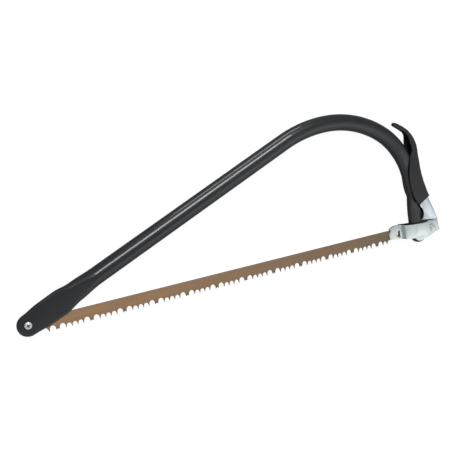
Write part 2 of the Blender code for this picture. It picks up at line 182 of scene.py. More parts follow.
def turned(name, profile, centre, steps=48):
    # (radius, height) pairs spun round an upright axis
    piece = drawChain(name, [(radius, 0.0, height) for radius, height in profile])
    bpy.ops.mesh.select_all(action="SELECT")
    bpy.ops.mesh.spin(steps=steps, angle=2 * math.pi, center=(0.0, 0.0, 0.0), axis=(0.0, 0.0, 1.0))
    bpy.ops.mesh.select_all(action="SELECT")
    bpy.ops.mesh.remove_doubles(threshold=0.004 * mm)
    bpy.ops.mesh.normals_make_consistent(inside=False)
    bpy.ops.mesh.select_all(action="SELECT")
    slide(centre[0], centre[1], 0.0)
    closeMesh()
    return piece


def block(name, centre, size, turn=0.0):
    selectOnly()
    bpy.ops.mesh.primitive_cube_add(size=1.0, location=[value * mm for value in centre],
                                    rotation=(0.0, 0.0, math.radians(turn)))
    piece = bpy.context.object
    piece.name = name
    piece.scale = [value * mm for value in size]
    bpy.ops.object.transform_apply(location=True, rotation=True, scale=True)
    return piece


def rod(name, centre, radius, low, high, sides=48):
    selectOnly()
    bpy.ops.mesh.primitive_cylinder_add(vertices=sides, radius=radius * mm, depth=(high - low) * mm,
                                        location=(centre[0] * mm, centre[1] * mm, (low + high) / 2 * mm))
    piece = bpy.context.object
    piece.name = name
    bpy.ops.object.transform_apply(location=True, rotation=True, scale=True)
    return piece


def finishPiece(piece, name, body, nodes, finish, angle=35.0):
    selectOnly(piece)
    bpy.ops.object.shade_smooth_by_angle(angle=math.radians(angle))
    piece.location = home
    bpy.ops.object.transform_apply(location=True, rotation=True, scale=True)
    piece.name = piece.data.name = name
    piece.data.materials.clear()
    piece.data.materials.append(finish)
    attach(piece, body)
    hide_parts(*nodes)
    print(name, len(piece.data.polygons), "faces")
    return piece


# Finishes

class Wire:
    # a node's output, so that masks can be written as sums and products
    def __init__(self, paint, socket):
        self.paint, self.socket = paint, socket

    def sum(self, operation, first, second):
        return self.paint.node("ShaderNodeMath", {"operation": operation}, {0: first, 1: second})

    def __add__(self, other):
        return self.sum("ADD", self, other)

    def __radd__(self, other):
        return self.sum("ADD", other, self)

    def __sub__(self, other):
        return self.sum("SUBTRACT", self, other)

    def __rsub__(self, other):
        return self.sum("SUBTRACT", other, self)

    def __mul__(self, other):
        return self.sum("MULTIPLY", self, other)

    def __rmul__(self, other):
        return self.sum("MULTIPLY", other, self)


class NodeBoard:
    # adds nodes to a material or to the world
    def __init__(self, tree):
        self.tree = tree

    def node(self, kind, settings=None, inputs=None, output=0):
        made = self.tree.nodes.new(kind)
        for key, value in (settings or {}).items():
            if key == "stops":
                while len(made.color_ramp.elements) < len(value):
                    made.color_ramp.elements.new(0.5)
                for stop, (place, colour) in zip(made.color_ramp.elements, value):
                    stop.position, stop.color = place, colour
            else:
                setattr(made, key, value)
        for key, value in (inputs or {}).items():
            self.feed(made.inputs[key], value)
        return Wire(self, made.outputs[output])

    def feed(self, socket, value):
        if isinstance(value, Wire):
            self.tree.links.new(value.socket, socket)
        else:
            socket.default_value = value

    def between(self, value, low, high, outLow=0.0, outHigh=1.0):
        return self.node("ShaderNodeMapRange", None, {"Value": value, "From Min": low, "From Max": high,
                                                      "To Min": outLow, "To Max": outHigh})


class Paint(NodeBoard):
    # one material; values that are the same all over go on the shader's own sockets
    def __init__(self, name, **even):
        self.material = bpy.data.materials.new(name)
        self.material.use_nodes = True
        super().__init__(self.material.node_tree)
        self.shader = self.tree.nodes["Principled BSDF"]
        for socket, value in even.items():
            self.shader.inputs[socket.replace("_", " ")].default_value = value
        self.place = self.node("ShaderNodeTexCoord", output="Object")

    def noise(self, scale, detail=3.0, roughness=0.5, vector=None):
        return self.node("ShaderNodeTexNoise", None, {"Vector": vector or self.place, "Scale": scale, "Detail": detail,
                                                      "Roughness": roughness})

    def stretched(self, x, y, z, turn=0.0):
        return self.node("ShaderNodeMapping", None, {"Vector": self.place, "Rotation": (0.0, 0.0, turn),
                                                     "Scale": (x, y, z)})

    def mix(self, factor, first, second):
        return self.node("ShaderNodeMix", {"data_type": "RGBA"}, {0: factor, 6: first, 7: second}, output=2)

    def larger(self, first, second):
        return self.node("ShaderNodeMath", {"operation": "MAXIMUM"}, {0: first, 1: second})

    def put(self, socket, value):
        self.feed(self.shader.inputs[socket], value)

    def reach(self, x, y):
        # distance across the saw from a place given in mm from the nose hole
        side = self.node("ShaderNodeMapping", {"vector_type": "POINT"}, {
            "Vector": self.place, "Location": (-home.x - x * mm, -home.y - y * mm, 0.0), "Scale": (1.0, 1.0, 0.0)})
        return self.node("ShaderNodeVectorMath", {"operation": "LENGTH"}, {0: side}, output="Value")

    def part(self, axis):
        # one coordinate, in mm from the nose hole
        shift = {"X": home.x, "Y": home.y, "Z": home.z}[axis]
        return (self.node("ShaderNodeSeparateXYZ", None, {"Vector": self.place}, output=axis) - shift) * (1 / mm)

    def bump(self, height, distance, strength=1.0):
        self.put("Normal", self.node("ShaderNodeBump", None, {"Strength": strength, "Distance": distance,
                                                              "Height": height}))


def charcoalPaint():
    # gloss paint on steel tube: faint orange peel, thin haze, tiny specks, and a painted dark ring of shadow round the
    # screw head
    paint = Paint("charcoalPaint", IOR=1.38, Coat_IOR=1.40, Coat_Roughness=0.08)
    haze = paint.noise(38.0, 4.0, 0.6)
    peel = paint.noise(150.0, 2.0)
    specks = paint.between(paint.noise(900.0, 1.0), 0.70, 0.78)
    colour = paint.mix(paint.between(haze, 0.3, 0.7), (0.0050, 0.0066, 0.0085, 1.0), (0.0092, 0.0108, 0.0135, 1.0))
    colour = paint.mix(specks * 0.3, colour, (0.040, 0.042, 0.047, 1.0))
    # painted shadow: a dark ring round the nose screw's head, with less coat there
    screwShadow = paint.between(paint.reach(0.0, 0.0), 0.0062, 0.0052)
    paint.put("Base Color", paint.mix(screwShadow, colour, (0.002, 0.002, 0.0025, 1.0)))
    paint.put("Roughness", paint.between(haze, 0.25, 0.75, 0.34, 0.44) + specks * 0.15)
    paint.put("Coat Weight", paint.between(haze, 0.25, 0.75, 0.75, 0.6) - screwShadow * 0.5)
    paint.bump(peel, 0.00003, 0.08)
    return paint.material


def bronzeLacquer():
    # brown lacquer over cold-rolled strip: rolling streaks, cloudy tone, darker toward the holder;
    #  painted shade along the teeth for their filed bevels, painted shadow round the catch hole, darker narrow edges
    paint = Paint("bronzeLacquer", IOR=1.45, Coat_Roughness=0.25)
    streaks = paint.noise(260.0, 4.0, 0.6, paint.stretched(0.06, 1.0, 1.0))
    cloud = paint.noise(22.0, 3.0)
    fine = paint.noise(1500.0, 3.0)
    dark = paint.between(paint.part("X"), 40.0, 500.0)
    tone = paint.mix(dark, (0.355, 0.212, 0.112, 1.0), (0.155, 0.112, 0.072, 1.0))
    tone = paint.mix(paint.between(cloud, 0.35, 0.7) * 0.35, tone, (0.27, 0.175, 0.11, 1.0))
    tone = paint.mix(paint.between(streaks, 0.4, 0.75) * 0.3, tone, (0.14, 0.088, 0.055, 1.0))
    # painted shade: darker along the teeth, standing for the shade on their filed bevels
    toothBevelShade = paint.between(paint.part("Y") + streaks * 1.5, tipLine + 5.6, tipLine + 1.6)
    # painted shadow: the blade made dark round the catch hole, where it lies in the holder's window
    catch = paint.between(paint.reach(519.0, -2.6), 0.0075, 0.0050)
    wall = paint.node("ShaderNodeAttribute", {"attribute_name": "groundWall"}, output="Fac")
    # painted shade of the teeth and painted shadow round the catch hole, together with the darker narrow edges
    shadeAndDarkEdges = paint.larger(paint.larger(toothBevelShade * 0.85, catch * 0.9), wall * 0.9)
    paint.put("Base Color", paint.mix(shadeAndDarkEdges, tone, (0.045, 0.030, 0.022, 1.0)))
    paint.put("Metallic", paint.between(cloud, 0.3, 0.7, 0.30, 0.40))
    paint.put("Roughness", paint.between(fine, 0.3, 0.7, 0.40, 0.52))
    paint.bump(streaks * 0.6 + fine * 0.2, 0.00004, 0.5)
    return paint.material


def zincPlate(name, blueTone, shadowed):
    # zinc-plated sheet: bluish sheen, warm passivation blotches, fine drawing lines; the two holder plates
    #  get painted shade, near black, on their inner faces
    paint = Paint(name, IOR=1.6)
    blotch = paint.noise(75.0, 4.0, 0.6)
    patch = paint.noise(190.0, 2.0)
    grain = paint.noise(1400.0, 4.0, 0.7, paint.stretched(0.12, 1.0, 1.0, 0.25))
    cool = paint.mix(paint.between(blotch, 0.35, 0.65), blueTone, (0.72, 0.76, 0.77, 1.0))
    colour = paint.mix(paint.between(patch, 0.60, 0.74) * 0.6, cool, (0.60, 0.50, 0.38, 1.0))
    rough = paint.between(grain, 0.3, 0.7, 0.30, 0.44)
    metal = paint.between(blotch, 0.3, 0.7, 0.86, 0.94)
    if shadowed:
        along = paint.part("X")
        high = paint.node("ShaderNodeMath", {"operation": "ABSOLUTE"}, {0: paint.part("Z")})
        inside = paint.between(high, 8.6, 8.3) * paint.between(along, 530.6, 531.6)
        inside = inside * paint.between(along, 569.0, 568.4)
        # painted shade: the holder plates' inner faces made near black and less metallic
        innerShade = inside * paint.between(blotch, 0.2, 0.5, 0.75, 1.0)
        colour = paint.mix(innerShade, colour, (0.010, 0.011, 0.012, 1.0))
        metal = metal - innerShade * 0.85
        rivetWear = paint.between(paint.reach(575.5, -3.5) + blotch * 0.002, 0.0062, 0.0048)
        colour = paint.mix(rivetWear * 0.3, colour, (0.42, 0.33, 0.23, 1.0))
    paint.put("Base Color", colour)
    paint.put("Metallic", metal)
    paint.put("Roughness", rough)
    paint.bump(grain, 0.00003, 0.4)
    return paint.material


def brightSteel():
    # plated screw and rivets: light turning marks, slight tarnish, painted shade deep in the cross recess
    paint = Paint("brightSteel", IOR=1.6)
    tarnish = paint.noise(420.0, 4.0, 0.6)
    lines = paint.noise(2400.0, 3.0, 0.6, paint.stretched(1.0, 1.0, 0.2))
    colour = paint.mix(paint.between(tarnish, 0.35, 0.7), (0.74, 0.76, 0.79, 1.0), (0.55, 0.56, 0.58, 1.0))
    # painted shade: dark, less metallic and rougher deep in the screw's cross recess
    recess = paint.between(paint.part("Z"), 5.55, 5.25) * paint.between(paint.reach(0.0, 0.0), 0.0032, 0.0029)
    paint.put("Base Color", paint.mix(recess, colour, (0.030, 0.034, 0.040, 1.0)))
    paint.put("Metallic", paint.between(tarnish, 0.3, 0.7, 0.80, 0.70) - recess * 0.6)
    paint.put("Roughness", paint.between(lines, 0.3, 0.7, 0.44, 0.58) + recess * 0.3)
    paint.bump(lines, 0.00002, 0.4)
    return paint.material


def blackGrip():
    # moulded plastic: spark-eroded grain, slightly polished where a hand rubs
    paint = Paint("blackGrip", IOR=1.46)
    worn = paint.noise(48.0, 3.0)
    grain = paint.noise(1700.0, 3.0, 0.65)
    paint.put("Base Color", paint.mix(paint.between(worn, 0.3, 0.7), (0.0085, 0.0085, 0.0090, 1.0),
                                      (0.0135, 0.0135, 0.0138, 1.0)))
    paint.put("Roughness", paint.between(worn, 0.3, 0.7, 0.44, 0.56) + (grain - 0.5) * 0.1)
    paint.bump(grain, 0.00010, 0.5)
    return paint.material


finishes = {"charcoal_paint": charcoalPaint(), "bronze_lacquer": bronzeLacquer(),
            "zinc_plate": zincPlate("zincPlate", (0.58, 0.66, 0.66, 1.0), True),
            "lever_zinc": zincPlate("leverZinc", (0.50, 0.60, 0.68, 1.0), False),
            "bright_steel": brightSteel(), "black_grip": blackGrip()}
print("finishes ready:", len(finishes))


# Camera, floor and light

studio = {
    "lens": 55.0, "sensor": 36.0,
    "cameraPlace": (-52.8, 213.7, 826.9),                # mm from the nose hole
    "cameraRight": (0.9115, -0.1537, 0.3814), "cameraUp": (0.2071, 0.9729, -0.1029),
    "floorSize": 6.0, "floorDrop": 0.3, "floorGlow": 0.96,                         # m, mm, brightness
    "skyFront": 0.75, "skyBack": 0.26, "skyFrom": -0.6, "skyTo": 0.1,               # brightness, and where it fades
    "lights": {              # place and aim in mm from the nose hole, run of the long side, both sizes in m, watts
        "stripKey": ((222.0, 959.0, 1028.0), (220.0, 94.0, 0.0), (0.92, 0.392, 0.0), 0.84, 0.36, 15.0),
        "lowFill": ((865.0, -714.0, 836.0), (260.0, 100.0, 0.0), (0.92, 0.392, 0.0), 1.3, 0.75, 1.2),
        "plateBox": ((1281.0, -266.0, 1033.0), (540.0, 0.0, 0.0), (0.0, 1.0, 0.0), 1.3, 1.3, 1.9),
        "bendRim": ((300.0, 1350.0, 120.0), (440.0, 190.0, 0.0), (1.0, 0.0, 0.0), 0.7, 0.22, 4.0),
    },
}


def makeCamera():
    view = bpy.data.cameras.new("camera")
    view.lens, view.sensor_width = studio["lens"], studio["sensor"]
    camera = bpy.data.objects.new("camera", view)
    bpy.context.scene.collection.objects.link(camera)
    right, up = Vector(studio["cameraRight"]).normalized(), Vector(studio["cameraUp"])
    back = right.cross(up).normalized()
    up = back.cross(right)
    turn = Matrix((right, up, back)).transposed().to_4x4()
    camera.matrix_world = Matrix.Translation(home + Vector(studio["cameraPlace"]) * mm) @ turn
    bpy.context.scene.camera = camera


def makeFloor():
    selectOnly()
    bpy.ops.mesh.primitive_plane_add(size=studio["floorSize"], location=(0.0, 0.0, -studio["floorDrop"] * mm))
    floor = bpy.context.object
    floor.name = "floor"
    paint = Paint("floorPaint", Roughness=0.9, Emission_Strength=studio["floorGlow"])
    soft = paint.noise(3.0, 2.0)
    seen = paint.node("ShaderNodeLightPath", output="Is Camera Ray")        # reads white, throws little light up
    white = paint.mix(soft, (0.98, 0.98, 0.98, 1.0), (1.0, 1.0, 1.0, 1.0))
    paint.put("Base Color", paint.mix(soft, (0.05, 0.05, 0.05, 1.0), (0.06, 0.06, 0.06, 1.0)))
    paint.put("Emission Color", paint.mix(seen, (0.16, 0.16, 0.165, 1.0), white))
    floor.data.materials.append(paint.material)


def addLight(name, place, aim, run, long, wide, power):
    lamp = bpy.data.lights.new(name, "AREA")
    lamp.shape, lamp.size, lamp.size_y, lamp.energy = "RECTANGLE", long, wide, power
    light = bpy.data.objects.new(name, lamp)
    bpy.context.scene.collection.objects.link(light)
    away = (Vector(place) - Vector(aim)).normalized()
    along = (Vector(run) - away * Vector(run).dot(away)).normalized()
    turn = Matrix((along, away.cross(along), away)).transposed().to_4x4()
    light.matrix_world = Matrix.Translation(home + Vector(place) * mm) @ turn


def makeWorld():
    world = bpy.data.worlds.new("studio")
    world.use_nodes = True
    room = NodeBoard(world.node_tree)
    sky = room.tree.nodes["Background"]
    sky.inputs["Color"].default_value = (1.0, 1.0, 1.0, 1.0)
    place = room.node("ShaderNodeTexCoord", output="Generated")
    depth = room.node("ShaderNodeSeparateXYZ", None, {"Vector": place}, output="Y")
    fade = room.between(depth, studio["skyFrom"], studio["skyTo"], studio["skyFront"], studio["skyBack"])
    seen = room.node("ShaderNodeLightPath", output="Is Camera Ray")         # the room reads as white as the floor
    room.feed(sky.inputs["Strength"], room.node("ShaderNodeMix", {"data_type": "FLOAT"},
                                                {0: seen, 2: fade, 3: studio["floorGlow"]}))
    bpy.context.scene.world = world
    bpy.context.scene.view_settings.view_transform = "Standard"


makeCamera()
makeFloor()
makeWorld()
for name, numbers in studio["lights"].items():
    addLight(name, *numbers)
print("camera, floor and light ready")


# Bent tube frame

tube = {
    "radius": 11.1, "sides": 48,
    "rise": 23.1, "lift": 0.6,                           # straight run's angle, and its height at the nose
    "route": [(393.5, 0.0, 0.0), (0.0, 173.0, 23.1), (0.0, 140.0, 34.2), (0.0, 100.0, 42.8), (24.4, 0.0, 0.0),
              (0.0, 60.0, 13.0), (55.7, 0.0, 0.0)],      # straight length, or radius and turn
    "noseFlat": (13.6, 3.2), "tailFlat": (14.0, 4.0),    # half width, half thickness
    "noseKeys": [(0.0, 13.6, 3.2), (22.0, 15.6, 3.2), (44.0, 15.9, 3.2), (66.0, 13.0, 7.4), (96.0, 11.1, 11.1)],
    "noseHang": (1.3, 44.0, 96.0),                       # nose hangs this low, fully to here, not at all from there
    "tailKeys": [(0.0, 14.0, 4.0), (30.0, 14.0, 4.0), (67.0, 11.3, 6.2), (88.0, 11.1, 6.5), (134.0, 11.1, 11.1)],
    "tipRings": 9, "ringStep": 4.0,
    "slotMiddle": (18.0, -6.25), "slotSize": (80.0, 31.5, 1.5),      # along and across the straight run
    "screwHole": 2.9, "fulcrumHole": 3.3,
}


def bowPoint(distance):
    # centre line's place and heading at a distance from the nose hole
    x, y, heading = 0.0, tube["lift"], math.radians(tube["rise"])
    left = distance
    for length, radius, turn in tube["route"]:
        run = length or radius * math.radians(turn)
        travel = min(left, run)
        if radius:
            swing = travel / radius
            x += radius * (math.sin(heading) - math.sin(heading - swing))
            y += radius * (math.cos(heading - swing) - math.cos(heading))
            heading -= swing
        else:
            x += travel * math.cos(heading)
            y += travel * math.sin(heading)
        left -= travel
        if left <= 0.0:
            break
    return x, y, heading


bowLength = sum(length or radius * math.radians(turn) for length, radius, turn in tube["route"])


def easedKeys(keys, distance):
    for (start, wide, thick), (stop, nextWide, nextThick) in zip(keys, keys[1:]):
        if distance <= stop:
            part = max(0.0, (distance - start) / (stop - start))
            ease = part * part * (3.0 - 2.0 * part)
            return wide + (nextWide - wide) * ease, thick + (nextThick - thick) * ease
    return tube["radius"], tube["radius"]


def roundedEnd(wide, thick, past):
    # section of a flattened end, this far past the centre of its round tip
    flat = wide - thick
    left = math.sqrt(max(0.0, wide * wide - past * past))
    if past > flat:
        thick = math.sqrt(max(0.0, thick * thick - (past - flat) ** 2))
    return left, min(left, thick)


def tubeSection(distance):
    if distance < 0.0:
        return roundedEnd(*tube["noseFlat"], -distance)
    if distance > bowLength:
        return roundedEnd(*tube["tailFlat"], distance - bowLength)
    if distance < bowLength / 2:
        return easedKeys(tube["noseKeys"], distance)
    return easedKeys(tube["tailKeys"], bowLength - distance)


def tubeStations():
    steps = tube["tipRings"]
    noseTip, tailTip = tube["noseFlat"][0], tube["tailFlat"][0]
    marks = [-noseTip * math.cos(math.radians(90.0 * step / steps)) for step in range(1, steps)]
    marks += [6.0 * step for step in range(7)] + [42.0 + 3.0 * step for step in range(20)]
    marks += [120.0 + 60.0 * step for step in range(5)]
    bendStart = tube["route"][0][0]
    count = int((bowLength - bendStart) / tube["ringStep"])
    marks += [bendStart + (bowLength - bendStart) * step / count for step in range(count + 1)]
    marks += [bowLength + tailTip * math.sin(math.radians(90.0 * step / steps)) for step in range(1, steps)]
    return marks


def makeTube():
    marks = tubeStations()
    selectOnly()
    bpy.ops.mesh.primitive_circle_add(vertices=tube["sides"], radius=tube["radius"] * mm,
                                      location=(marks[0] * mm, 0.0, 0.0), rotation=(0.0, math.pi / 2, 0.0))
    piece = bpy.context.object
    bpy.ops.object.transform_apply(location=True, rotation=True, scale=True)
    openMesh(piece)
    bpy.ops.mesh.select_all(action="SELECT")
    for here, there in zip(marks, marks[1:]):
        pull(there - here, 0.0, 0.0)
    for mark in marks:
        wide, thick = tubeSection(mark)
        if (wide, thick) != (tube["radius"], tube["radius"]):
            share = thick / tube["radius"]
            pick(piece, lambda co: abs(co.x - mark) < 0.02)
            bpy.ops.transform.resize(value=(1.0, share, share), center_override=(mark * mm, 0.0, 0.0))
            for side in (1.0, -1.0):
                pick(piece, lambda co: abs(co.x - mark) < 0.02 and co.y * side > 0.01 * thick)
                slide(0.0, side * (wide - thick), 0.0)
    hang, full, gone = tube["noseHang"]
    for mark in marks:
        part = min(1.0, (gone - mark) / (gone - full))
        if part > 0.0:
            pick(piece, lambda co: abs(co.x - mark) < 0.02)
            slide(0.0, -hang * part * part * (3.0 - 2.0 * part), 0.0)
    for mark in (marks[0], marks[-1]):
        pick(piece, lambda co: abs(co.x - mark) < 0.02)
        bpy.ops.mesh.edge_face_add()
        bpy.ops.mesh.poke()
    closeMesh()
    outward(piece)
    bendAlongBow(piece)
    heading = math.radians(tube["rise"])
    along, across = tube["slotMiddle"]
    x = along * math.cos(heading) - across * math.sin(heading)
    y = along * math.sin(heading) + across * math.cos(heading) + tube["lift"]
    cut(piece, block("slotCut", (x, y, 0.0), tube["slotSize"], tube["rise"]))
    cut(piece, rod("screwCut", (0.0, 0.0), tube["screwHole"], -20.0, 20.0))
    cut(piece, rod("fulcrumCut", fulcrum, tube["fulcrumHole"], -20.0, 20.0))
    return finishPiece(piece, "frameTube", "frame", ["frame_tube"], finishes["charcoal_paint"], 40.0)


def bendAlongBow(piece):
    count = 360
    points = [bowPoint(bowLength * step / count)[:2] for step in range(count + 1)]
    path = drawChain("bowPath", [(x, y, 0.0) for x, y in points])
    closeMesh()
    selectOnly(path)
    bpy.ops.object.convert(target="CURVE")
    path = bpy.context.object
    first = path.data.splines[0].points[0].co
    if Vector(first.xyz).length > 0.1:
        bpy.ops.object.mode_set(mode="EDIT")
        bpy.ops.curve.select_all(action="SELECT")
        bpy.ops.curve.switch_direction()
        bpy.ops.object.mode_set(mode="OBJECT")
    path.data.twist_mode = "Z_UP"
    path.data.use_deform_bounds = False
    step = piece.modifiers.new("bend", "CURVE")
    step.object = path
    step.deform_axis = "POS_X"
    applyStep(piece, step)
    bpy.data.objects.remove(path, do_unlink=True)


makeTube()


# Toothed blade

blade = {
    "thick": 0.9, "back": 4.5, "end": 527.0,
    "rakerFirst": 32.8, "rakerPitch": 41.1, "rakers": 12,
    "cutters": (10.05, 17.05, 24.05, 31.05),             # mm after each raker
    "halfTip": {"cutter": 0.30, "raker": 1.9}, "notch": 1.5,
    "depthCutter": 4.8, "depthRaker": 6.2, "shoulder": 5.2,
    "set": 0.35, "boltHole": 2.9, "catchHole": (519.0, -2.6, 3.4),
    "plainEnd": (520.0, 29.0),                           # middle and length of the end with no teeth, in the holder
}


def gullet(left, right, depth, steps=12):
    # round-topped gap between two tooth tips
    middle, half = (left + right) / 2, (right - left) / 2
    turns = [math.pi * (1.0 - step / steps) for step in range(steps + 1)]
    return [(middle + half * math.cos(turn), tipLine + depth * math.sin(turn) ** 0.9) for turn in turns]


def toothEdge(start, stop, teeth):
    # lower edge from start to stop, given (place, kind) of every tooth between
    points = []
    for (place, kind), (after, nextKind) in zip(teeth, teeth[1:]):
        if kind == "raker":
            points.append((place, tipLine + blade["notch"]))
        deep = blade["depthRaker"] if "raker" in (kind, nextKind) else blade["depthCutter"]
        points += gullet(place + blade["halfTip"][kind], after - blade["halfTip"][nextKind], deep)
    return [point for point in points if start - 0.001 <= point[0] <= stop + 0.001]


def flatSheet(name, outline):
    piece = drawChain(name, [(x, y, 0.0) for x, y in outline])
    fillChain(piece)
    closeMesh()
    return piece


def setTeeth(piece, places):
    # every other slim tooth leans to one side
    openMesh(piece)
    for number, place in enumerate(places):
        lean = blade["set"] if number % 2 else -blade["set"]
        pick(piece, lambda co: abs(co.x - place) < 1.2 and co.y < tipLine + 1.0)
        slide(0.0, 0.0, lean)
        pick(piece, lambda co: abs(co.x - place) < 1.8 and tipLine + 1.0 <= co.y < tipLine + 2.4)
        slide(0.0, 0.0, lean * 0.4)
    closeMesh()


def makeBlade():
    pitch, first = blade["rakerPitch"], blade["rakerFirst"]
    top, low = blade["back"], tipLine + blade["shoulder"]
    cutters = [(place, "cutter") for place in blade["cutters"]]
    edge = toothEdge(0.0, pitch, [(0.0, "raker")] + cutters + [(pitch, "raker")])
    group = flatSheet("toothGroup", edge + [(pitch, tipLine + blade["notch"]), (pitch, top), (0.0, top)])
    openMesh(group)
    bpy.ops.mesh.select_all(action="SELECT")
    bpy.ops.mesh.bisect(plane_co=(0.0, (tipLine + 3.2) * mm, 0.0), plane_no=(0.0, 1.0, 0.0))
    closeMesh()
    setTeeth(group, blade["cutters"])
    step = group.modifiers.new("repeat", "ARRAY")
    step.count = blade["rakers"] - 1
    step.use_relative_offset = False
    step.use_constant_offset = True
    step.constant_offset_displace = (pitch * mm, 0.0, 0.0)
    applyStep(group, step)
    openMesh(group)
    bpy.ops.mesh.select_all(action="SELECT")
    slide(first, 0.0, 0.0)
    closeMesh()

    # nose end with one slim tooth, and the plain end that the holder catches
    lead = first - blade["cutters"][0]
    noseTeeth = [(lead - 6.0, low), (lead - 3.4, low), (lead - 1.2, tipLine + 2.0), (lead - 0.45, tipLine)]
    noseTeeth += toothEdge(lead, first, [(lead, "cutter"), (first, "raker")]) + [(first, tipLine + blade["notch"])]
    noseRound = [(2.0, top)] + arcPoints((0.0, top - 7.0), 7.0, 90.0, 180.0, 8)
    noseRound += arcPoints((0.0, low + 6.5), 7.0, 200.0, 262.0, 6)
    nose = flatSheet("bladeNose", noseTeeth + [(first, top)] + noseRound)
    lastRaker = first + pitch * (blade["rakers"] - 1)
    tailTeeth = [(lastRaker + place, kind) for place, kind in [(0.0, "raker")] + cutters]
    final = tailTeeth[-1][0]
    end = blade["end"]
    tail = toothEdge(lastRaker, final, tailTeeth)
    tail += [(final + 0.45, tipLine), (final + 1.2, tipLine + 2.0), (final + 3.4, low), (final + 6.0, low)]
    tail += [(end - 8.0, low), (end - 2.0, low + 2.5), (end, 0.0), (end - 2.0, top - 1.5), (end - 4.0, top),
             (lastRaker, top)]
    tailSheet = flatSheet("bladeTail", tail)
    selectOnly(group, nose, tailSheet)
    bpy.ops.object.join()
    piece = bpy.context.object
    openMesh(piece)
    bpy.ops.mesh.select_all(action="SELECT")
    bpy.ops.mesh.remove_doubles(threshold=0.01 * mm)
    bpy.ops.mesh.normals_make_consistent(inside=False)
    bpy.ops.mesh.select_all(action="SELECT")
    slide(0.0, 0.0, -blade["thick"] / 2)
    pull(0.0, 0.0, blade["thick"])
    closeMesh()
    outward(piece)
    middle, length = blade["plainEnd"]
    cut(piece, block("plainEndCut", (middle, low - 5.0, 0.0), (length, 10.0, 6.0)))
    x, y, radius = blade["catchHole"]
    cut(piece, rod("boltCut", (0.0, 0.0), blade["boltHole"], -5.0, 5.0))
    cut(piece, rod("catchCut", (x, y), radius, -5.0, 5.0))
    walls = piece.data.attributes.new("groundWall", "FLOAT", "FACE")         # 1 on the blade's narrow edges
    for face in piece.data.polygons:
        walls.data[face.index].value = 1.0 if abs(face.normal.z) < 0.5 else 0.0
    return finishPiece(piece, "sawBlade", "blade", ["saw_blade"], finishes["bronze_lacquer"], 25.0)


makeBlade()


# Nose screw, washer and nut

fasteners = {
    "under": 3.5, "screwRadius": 2.6, "shankEnd": -10.5,
    "crown": [(0.0, 2.7), (1.6, 2.66), (2.8, 2.4), (3.7, 1.95), (4.3, 1.3), (4.6, 0.65), (4.65, 0.25), (4.5, 0.0)],
    "crossLong": 4.8, "crossWide": 1.3, "crossDeep": 1.5,
    "plainTo": -3.4, "threadTop": -3.6, "threadPitch": 0.7, "threadDeep": 0.22,
    "washer": (2.9, 5.6, -4.5, -3.5), "nut": (2.9, 4.62, -8.8, -4.8),
}


def makeScrew():
    under, radius = fasteners["under"], fasteners["screwRadius"]
    profile = [(r, under + z) for r, z in fasteners["crown"]] + [(radius, under), (radius, fasteners["plainTo"])]
    turns = int((fasteners["threadTop"] - fasteners["shankEnd"]) / fasteners["threadPitch"])
    for turn in range(turns):
        top = fasteners["threadTop"] - turn * fasteners["threadPitch"]
        profile += [(radius - fasteners["threadDeep"], top - 0.15), (radius, top - fasteners["threadPitch"] / 2)]
    profile += [(radius - 0.5, fasteners["shankEnd"]), (0.0, fasteners["shankEnd"])]
    piece = turned("noseScrew", profile, (0.0, 0.0))
    crossTop = under + fasteners["crown"][0][1]
    crossSize = (fasteners["crossLong"], fasteners["crossWide"], 2 * fasteners["crossDeep"])
    for turn in (18.0, 108.0):
        cut(piece, block("crossCut", (0.0, 0.0, crossTop), crossSize, turn))
    softenEdges(piece, 0.08, 2, 50.0)
    finishPiece(piece, "noseScrew", "frame", ["nose_screw"], finishes["bright_steel"])


def ringProfile(inner, outer, low, high, chamfer):
    return [(inner, low), (inner, high), (outer - chamfer, high), (outer, high - chamfer),
            (outer, low + chamfer), (outer - chamfer, low), (inner, low)]


def makeWasherAndNut():
    piece = turned("noseWasher", ringProfile(*fasteners["washer"], 0.2), (0.0, 0.0))
    finishPiece(piece, "noseWasher", "frame", ["nose_washer"], finishes["bright_steel"])
    inner, outer, low, high = fasteners["nut"]
    nut = rod("noseNut", (0.0, 0.0), outer, low, high, 6)
    cut(nut, turned("nutCone", ringProfile(inner, outer + 0.15, low, high, 0.5), (0.0, 0.0)), "INTERSECT")
    finishPiece(nut, "noseNut", "frame", ["nose_nut"], finishes["bright_steel"])


makeScrew()
makeWasherAndNut()


# Tension lever

lever = {
    "sheet": 1.3, "upperHalf": 7.9, "lowerHalf": 5.5, "bend": 2.2,
    "web": [(591.2, -10.2), (589.4, 0.6), (587.2, 9.0), (583.6, 19.9), (578.8, 32.5), (574.8, 42.0), (572.8, 47.0),
            (570.1, 56.2), (567.5, 65.4), (565.4, 75.9), (564.0, 84.8), (563.3, 94.9), (562.4, 101.0)],
    "mouth": ((551.2, 19.7), 13.3, -44.0, 47.0), "front": [(553.5, 58.0), (556.0, 66.0), (558.5, 76.0), (558.5, 93.0)],
    "cheek": 11.3, "neckTop": 8.5, "neckBottom": -3.0,
    "fulcrumHole": 3.3, "pinHole": 2.8,
}


def webX(height):
    for (lowX, lowY), (highX, highY) in zip(lever["web"], lever["web"][1:]):
        if height <= highY:
            return lowX + (height - lowY) / (highY - lowY) * (highX - lowX)
    return lever["web"][-1][0]


def moved(points, across):
    return [(x - across, y) for x, y in points]


def roundBack(piece, half, line, radius):
    # rounds the two long bends along the back of a channel
    openMesh(piece)

    def near(co):
        return abs(abs(co.z) - half) < 0.01 and any(abs(co.x - x) < 0.02 and abs(co.y - y) < 0.02 for x, y in line)
    pick(piece, lambda first, second: near(first) and near(second) and abs(first.z - second.z) < 0.01, "EDGE")
    bpy.ops.mesh.bevel(offset=radius * mm, segments=5, affect="EDGES")
    closeMesh()


